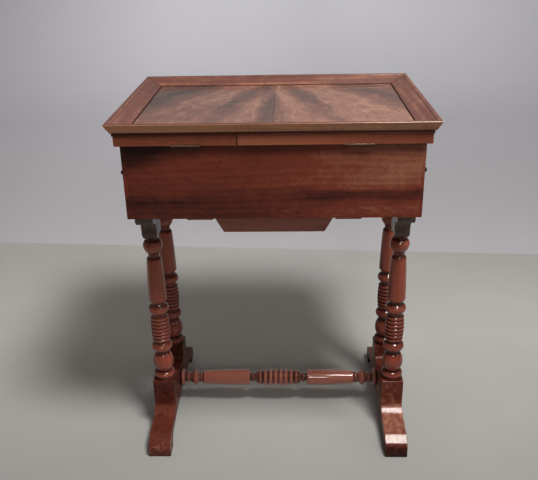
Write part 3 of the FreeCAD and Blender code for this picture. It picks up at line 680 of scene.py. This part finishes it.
def thinned(line, tolerance):
    """Leaves out points that lie within the tolerance of the line through those kept."""
    if len(line) < 3:
        return line
    (a0, r0), (a1, r1) = line[0], line[-1]
    span = math.hypot(a1 - a0, r1 - r0) or 1.0
    gaps = [abs((a1 - a0) * (r - r0) - (r1 - r0) * (a - a0)) / span for a, r in line]
    worst = max(range(1, len(line) - 1), key=lambda i: gaps[i])
    if gaps[worst] < tolerance:
        return [line[0], line[-1]]
    return thinned(line[:worst + 1], tolerance)[:-1] + thinned(line[worst:], tolerance)


def turned_points(line, axis, centre, segments):
    """Rings of points round the axis, off the outline by the small unevenness of handwork."""
    depth = 0.10 * MM
    others = [i for i in range(3) if i != axis]
    points = []
    for along, radius in line:
        for k in range(segments):
            angle = 2 * math.pi * k / segments
            place = Vector((2.2 * math.cos(angle), 2.2 * math.sin(angle), 70 * along))
            uneven = depth * noise.noise(place + 9 * centre)
            point = [0.0, 0.0, 0.0]
            point[axis] = along
            point[others[0]] = centre[others[0]] + (radius + uneven) * math.cos(angle)
            point[others[1]] = centre[others[1]] + (radius + uneven) * math.sin(angle)
            points.append(point)
    return points


def turned_faces(rings, axis, segments):
    """The faces between the rings and the two flat ends."""
    faces = []
    for ring in range(rings - 1):
        for k in range(segments):
            a = ring * segments + k
            b = ring * segments + (k + 1) % segments
            faces.append((a, b, b + segments, a + segments))
    last = (rings - 1) * segments
    faces.append(tuple(range(segments - 1, -1, -1)))
    faces.append(tuple(range(last, last + segments)))
    if axis == 1:
        faces = [tuple(reversed(face)) for face in faces]
    return faces


def lathe(name, node, axis, segments=96):
    """A turned piece in place of a CAD node, with soft arrises."""
    step = 0.25 * MM
    soft_passes = 4
    tolerance = 0.008 * MM
    centre = middle_of(node)
    line = resampled(meridian(node, axis, centre), step)
    line = thinned(softened(line, soft_passes), tolerance)
    mesh = bpy.data.meshes.new(name)
    points = turned_points(line, axis, centre, segments)
    mesh.from_pydata(points, [], turned_faces(len(line), axis, segments))
    for polygon in mesh.polygons:
        polygon.use_smooth = len(polygon.vertices) == 4
    piece = bpy.data.objects.new(name, mesh)
    bpy.context.scene.collection.objects.link(piece)
    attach(piece, BODY_OF[node])
    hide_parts(node)
    return piece


def dress(piece, material):
    """Gives a piece its material."""
    piece.data.materials.clear()
    piece.data.materials.append(material)


# ---- the table ----
def dress_lid():
    # painted shade: each slope darkened by side, the back slope, which the key lamp lights most, the most
    slopes = {"back": -0.15, "front": -0.07, "left": -0.10, "right": -0.08}
    for board, (side, slope) in enumerate(slopes.items()):
        grain = GRAIN_X if side in ("back", "front") else GRAIN_Y
        dress(NODES["rim_" + side], wood("rim " + side, RIM, grain, 1.0 + board, rim_tone(slope)))
        ease("rim_" + side, 0.35 * MM)
        tone = band_back_tone if side == "back" else None
        dress(NODES["band_" + side], wood("band " + side, BAND, grain, 7.0 + board, tone))
        ease("band_" + side, 0.4 * MM)
    dress(NODES["top_panel"], wood("panel veneer", PANEL, GRAIN_X, 12.0, panel_tone, bookmatched))
    dress(NODES["rim_fillet"], wood("dark strip", FILLET, GRAIN_X, 13.0))
    dress(NODES["lid_board"], wood("lid board", CARCASS, GRAIN_X, 14.0))
    dress(NODES["mirror"], looking_glass())
    dress(NODES["mirror_slips"], wood("mirror slips", INNER, GRAIN_X, 15.0))
    ease("mirror_slips", 0.3 * MM)
    ease("rim_fillet", 0.3 * MM)


def dress_boards(look, first, boards):
    """Dresses boards that differ only in grain and tone: {node: (grain, tone)}, numbered from the first."""
    for board, (node, (grain, tone)) in enumerate(boards.items()):
        dress(NODES[node], wood(node.replace("_", " "), look, grain, first + board, tone))
        ease(node, 0.5 * MM)


def dress_case():
    dress_boards(CASE, 20.0, {
        "case_back": (GRAIN_X, case_back_tone),
        "case_front": (GRAIN_X, None),
        "case_left": (GRAIN_Y, side_board_tone),
        "case_right": (GRAIN_Y, side_board_tone),
    })
    dress(NODES["case_floor"], wood("case floor", CARCASS, GRAIN_X, 26.0))
    dress(NODES["tray_ledges"], wood("tray ledges", CARCASS, GRAIN_Y, 27.0))
    dress_boards(INNER, 30.0, {
        "tray_floor": (GRAIN_X, None),
        "tray_back": (GRAIN_X, None),
        "tray_front": (GRAIN_X, None),
        "tray_left": (GRAIN_Y, None),
        "tray_right": (GRAIN_Y, None),
        "tray_long_dividers": (GRAIN_Y, None),
        "tray_short_dividers": (GRAIN_X, None),
    })


def dress_trough():
    dress_boards(TROUGH, 40.0, {
        "trough_back": (GRAIN_X, None),
        "trough_front": (GRAIN_X, None),
        "trough_left": (GRAIN_Y, None),
        "trough_right": (GRAIN_Y, None),
        "trough_lips": (GRAIN_Y, None),
        "trough_floor": (GRAIN_Y, None),
        "runner_left": (GRAIN_Y, None),
        "runner_right": (GRAIN_Y, None),
    })
    knob = lathe("trough_knob_turned", "trough_knob", 1, 64)
    dress(knob, wood("knob", EBONISED, GRAIN_Y, 49.0))


def dress_trestles():
    places = ("back_left", "back_right", "front_left", "front_right")
    for board, place in enumerate(places):
        column = lathe("column_turned_" + place, "column_" + place, 2)
        dress(column, wood("column " + place, TURNED, GRAIN_Z, 50.0 + board, column_tone))
        dress(NODES["capital_" + place], wood("capital " + place, EBONISED, GRAIN_Z, 55.0 + board))
        ease("capital_" + place, 0.9 * MM)
    # the right toe's dark tone is painted shade that tones down the glint on it
    tones = {"left": foot_tone(-0.12, -0.26, 0.02), "right": foot_tone(0.14, -0.06, -0.40)}
    for board, (side, tone) in enumerate(tones.items()):
        dress(NODES["foot_" + side], wood("foot " + side, FOOT, GRAIN_Y, 60.0 + board, tone))
        ease("foot_" + side, 1.1 * MM)
    stretcher = lathe("stretcher_turned", "stretcher", 0)
    dress(stretcher, wood("stretcher", STRETCHER, GRAIN_X, 65.0, stretcher_tone))


def dress_fittings():
    brass = metal("brass", rgb(158, 126, 80), rgb(74, 54, 34), 0.36, 0.8)
    varnished = metal("varnished brass", rgb(122, 96, 78), rgb(96, 68, 54), 0.5, 0.9)
    steel = metal("steel", rgb(150, 150, 148), rgb(70, 60, 52), 0.34)
    iron = metal("blackened iron", rgb(52, 48, 45), rgb(24, 21, 20), 0.42, 0.8)
    metals = {"brass": brass, "steel": steel, "blackened_iron": iron}
    for entry in frame["record"]["subparts"]:
        node = entry["node"]
        if node.startswith("hinge_"):
            dress(NODES[node], varnished)
        elif entry["material_slot"] in metals:
            dress(NODES[node], metals[entry["material_slot"]])


# ---- the pincushion ----
def pincushion():
    """A slack cover, smaller than its compartment, is blown up and then kept to the compartment."""
    slack_width = 0.90
    slack_height = 0.72
    low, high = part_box("pincushion")
    half = (high - low) / 2
    middle = (high + low) / 2
    bpy.ops.mesh.primitive_cube_add(size=2.0, location=middle)
    pad = bpy.context.object
    pad.name = "pincushion_pad"
    pad.scale = (half.x * slack_width, half.y * slack_width, half.z * slack_height)
    bpy.ops.object.transform_apply(location=False, rotation=False, scale=True)
    remesh = pad.modifiers.new("even", "REMESH")
    remesh.mode = "VOXEL"
    remesh.voxel_size = 4.0 * MM
    bpy.ops.object.modifier_apply(modifier=remesh.name)
    puff(pad)
    smooth = pad.modifiers.new("fine", "SUBSURF")
    smooth.levels = 1
    smooth.render_levels = 1
    bpy.ops.object.modifier_apply(modifier=smooth.name)
    fit_pad(pad, low, high, middle)
    bpy.ops.object.shade_smooth()
    dress(pad, velvet())
    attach(pad, BODY_OF["pincushion"])
    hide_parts("pincushion")


def puff(pad):
    """Blows the cloth up from the inside."""
    frames = 15
    cloth = pad.modifiers.new("cloth", "CLOTH")
    cloth.settings.quality = 6
    cloth.settings.use_pressure = True
    cloth.settings.uniform_pressure_force = 3.2
    cloth.settings.tension_stiffness = 12.0
    cloth.settings.bending_stiffness = 0.6
    cloth.settings.effector_weights.gravity = 0.0
    for number in range(frames):
        bpy.context.scene.frame_set(1 + number)
    bpy.ops.object.modifier_apply(modifier=cloth.name)
    bpy.context.scene.frame_set(1)


def fit_pad(pad, low, high, middle):
    """Keeps the pad in its compartment: flat against the floor and the dividers, crowned on top."""
    draw_in = 0.035
    top = max((pad.matrix_world @ v.co).z for v in pad.data.vertices)
    for vertex in pad.data.vertices:
        point = vertex.co
        world = point + middle
        share = (world.z - low.z) / (top - low.z)
        pull = 1.0 - draw_in * max(0.0, share) ** 2
        for axis in (0, 1):
            limit = (high - low)[axis] / 2
            point[axis] = max(-limit * pull, min(limit * pull, point[axis]))
        point.z = max(low.z, min(world.z, high.z)) - middle.z


# ---- stage, light and camera ----
def floor_material():
    """Pale grey paint. It changes tone behind the table, where a wall would stand. Painted shade dims it
    high up and near the camera, and painted light makes it paler to the left and just behind the wall line.
    """
    wall_start_y = 0.845
    wall_end_y = 0.861
    wall_turn = 0.067
    material, g = start_material("floor paint")
    spot = g.spot()
    cloud = g.remap(g.noise(spot, 1.6, 4.0, 0.55), 0.3, 0.7)
    speck = g.remap(g.noise(spot, 46.0, 3.0, 0.6), 0.66, 0.74, smooth=True)
    near = g.mix(cloud, rgb(176, 177, 175), rgb(184, 185, 184))
    x, y, z = g.split(spot)
    beyond = g.remap(g.plus(y, g.times(x, wall_turn)), wall_start_y, wall_end_y, smooth=True)
    tone = g.mix(beyond, near, rgb(176, 175, 180))
    tone = g.mix(g.times(speck, 0.12), tone, rgb(120, 116, 108))
    # painted shade: darker high up on the backdrop
    tone = g.mix(g.remap(z, 0.7, 1.8, smooth=True), tone, rgb(112, 112, 114))
    # painted light and shade for the lamps' falloff: darker near the camera, paler to the left and just
    # behind the wall line
    near_lift = g.remap(y, -0.7, 0.3, 0.47, 1.10)
    far_lift = g.times(beyond, g.remap(y, 0.9, 2.6, 0.24, -0.08))
    lift = g.times(g.remap(x, -0.9, 0.2, 1.22, 1.0), g.plus(near_lift, far_lift))
    tone = g.mix(1.0, tone, g.join(lift, lift, lift), "MULTIPLY")
    normal = g.bump(g.noise(spot, 220.0, 3.0), 0.12, 0.6 * MM)
    rough = g.remap(cloud, 0.0, 1.0, 0.5, 0.62)
    shader = g.add("BsdfPrincipled", {"Base Color": tone, "Roughness": rough, "Normal": normal})
    shader.inputs["Specular IOR Level"].default_value = 0.3
    end_material(g, shader)
    return material


def floor():
    """A floor that sweeps up into a plain backdrop well behind the table."""
    half_width = 7.0
    near = -5.0
    bend_y = 3.2
    bend = 1.2
    top = 4.5
    line = [(near, 0.0), (bend_y, 0.0)]
    steps = 16
    for i in range(1, steps + 1):
        angle = math.pi / 2 * i / steps
        line.append((bend_y + bend * math.sin(angle), bend - bend * math.cos(angle)))
    line.append((bend_y + bend, top))
    vertices = [(x, y, z) for y, z in line for x in (-half_width, half_width)]
    faces = [(2 * i, 2 * i + 1, 2 * i + 3, 2 * i + 2) for i in range(len(line) - 1)]
    mesh = bpy.data.meshes.new("floor")
    mesh.from_pydata(vertices, [], faces)
    for polygon in mesh.polygons:
        polygon.use_smooth = True
    ground = bpy.data.objects.new("floor", mesh)
    bpy.context.scene.collection.objects.link(ground)
    mesh.materials.append(floor_material())


def area_light(name, place, aim, size, energy, colour, spread=180.0):
    light = bpy.data.lights.new(name, "AREA")
    light.spread = math.radians(spread)
    light.shape = "RECTANGLE"
    light.size, light.size_y = size
    light.energy = energy
    light.color = colour
    lamp = bpy.data.objects.new(name, light)
    lamp.location = place
    lamp.rotation_mode = "QUATERNION"
    lamp.rotation_quaternion = (Vector(aim) - Vector(place)).to_track_quat("-Z", "Y")
    bpy.context.scene.collection.objects.link(lamp)


def room():
    """A dim room: pale above, darker towards the horizon and behind the camera."""
    full_strength = 0.26
    world = bpy.data.worlds.new("room")
    world.use_nodes = True
    world.node_tree.nodes.clear()
    g = Graph(world.node_tree)
    x, y, z = g.split(g.add("TexCoord").outputs["Generated"])
    above = g.remap(z, -0.1, 0.8, 0.5, 1.0, smooth=True)
    behind_camera = g.remap(y, -0.9, 0.1, 0.45, 1.0, smooth=True)
    strength = g.times(g.times(above, behind_camera), full_strength)
    background = g.add("Background", {"Color": (1.0, 0.91, 0.81, 1.0), "Strength": strength})
    g.feed(g.add("OutputWorld").inputs["Surface"], background.outputs[0])
    bpy.context.scene.world = world


def lights():
    """A key above the camera's right, weak lamps round the table, and one for the backdrop."""
    table_middle = (0.0, 0.0, 0.35)
    area_light("key", (0.60, -0.86, 2.40), table_middle, (0.55, 0.55), 58.0, (1.0, 0.985, 0.95))
    area_light("fill", (0.25, -2.5, 1.5), table_middle, (0.22, 0.22), 9.0, (1.0, 0.97, 0.95))
    area_light("far side", (0.9, 2.2, 3.3), table_middle, (1.2, 1.2), 5.0, (1.0, 0.96, 0.92))
    area_light("window", (3.0, -1.2, 1.5), table_middle, (1.4, 1.4), 6.0, (0.93, 0.965, 1.0))
    area_light("backdrop", (0.4, 2.6, 3.9), (0.4, 4.4, 1.2), (4.0, 1.0), 75.0, (0.98, 0.98, 1.0), 120.0)
    view = bpy.context.scene.view_settings
    view.view_transform = "Standard"
    view.gamma = 0.88


def camera():
    """The viewpoint: at the hinged back, a little to the right, looking down."""
    place = (0.0307, -1.3546, 1.0197)
    pitch, yaw, roll = (math.radians(a) for a in (24.0745, -1.9495, -1.1478))
    forward = Vector((math.sin(yaw) * math.cos(pitch), math.cos(yaw) * math.cos(pitch), -math.sin(pitch)))
    level = Vector((math.cos(yaw), -math.sin(yaw), 0.0))
    upright = level.cross(forward)
    right = math.cos(roll) * level + math.sin(roll) * upright
    up = -math.sin(roll) * level + math.cos(roll) * upright
    eye = bpy.data.objects.new("camera", bpy.data.cameras.new("camera"))
    eye.data.sensor_width = 36.0
    eye.data.lens = 47.03
    turn = Matrix((right, up, -forward)).transposed()
    eye.matrix_world = Matrix.Translation(place) @ turn.to_4x4()
    bpy.context.scene.collection.objects.link(eye)
    bpy.context.scene.camera = eye


dress_lid()
dress_case()
dress_trough()
dress_trestles()
dress_fittings()
pincushion()
floor()
room()
lights()
camera()

bpy.context.view_layer.update()
